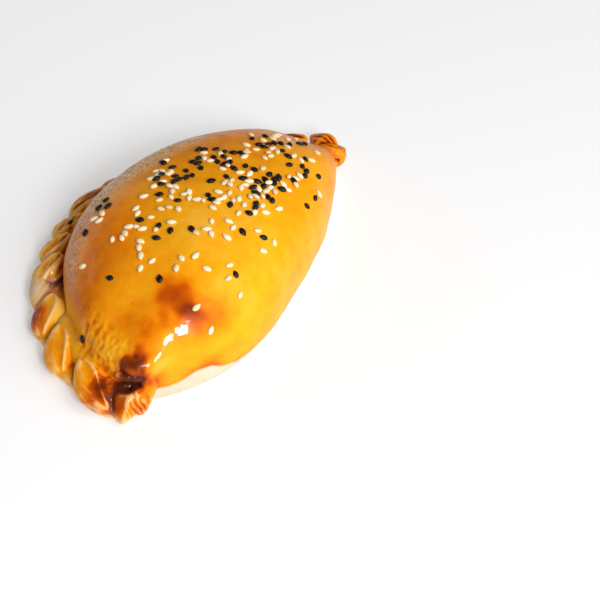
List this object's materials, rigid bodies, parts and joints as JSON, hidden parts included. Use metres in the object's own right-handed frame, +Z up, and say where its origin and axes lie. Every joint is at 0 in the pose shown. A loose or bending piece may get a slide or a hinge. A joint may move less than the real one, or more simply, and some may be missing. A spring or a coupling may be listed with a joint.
{
  "type": "vegetable empanada",
  "caption": "Baked half-moon turnover with a domed golden crust, a roped seam round its curved side, a pinched tail at each tip and sesame on top.",
  "frame": {"origin": "middle of the bounding box in plan, on the flat base that it rests on", "axes": "X from the near tip to the far tip, +Y towards the roped curved seam, -Y towards the folded side, +Z up"},
  "size_m": [0.1614, 0.0944, 0.0386],
  "materials": {
    "seeded_crust": "egg-washed baked dough, glossy on top and bare at the base, with white and black sesame"
  },
  "bodies": {
    "root": {"seeded_crust": "seeded_crust"}
  },
  "joints": []
}
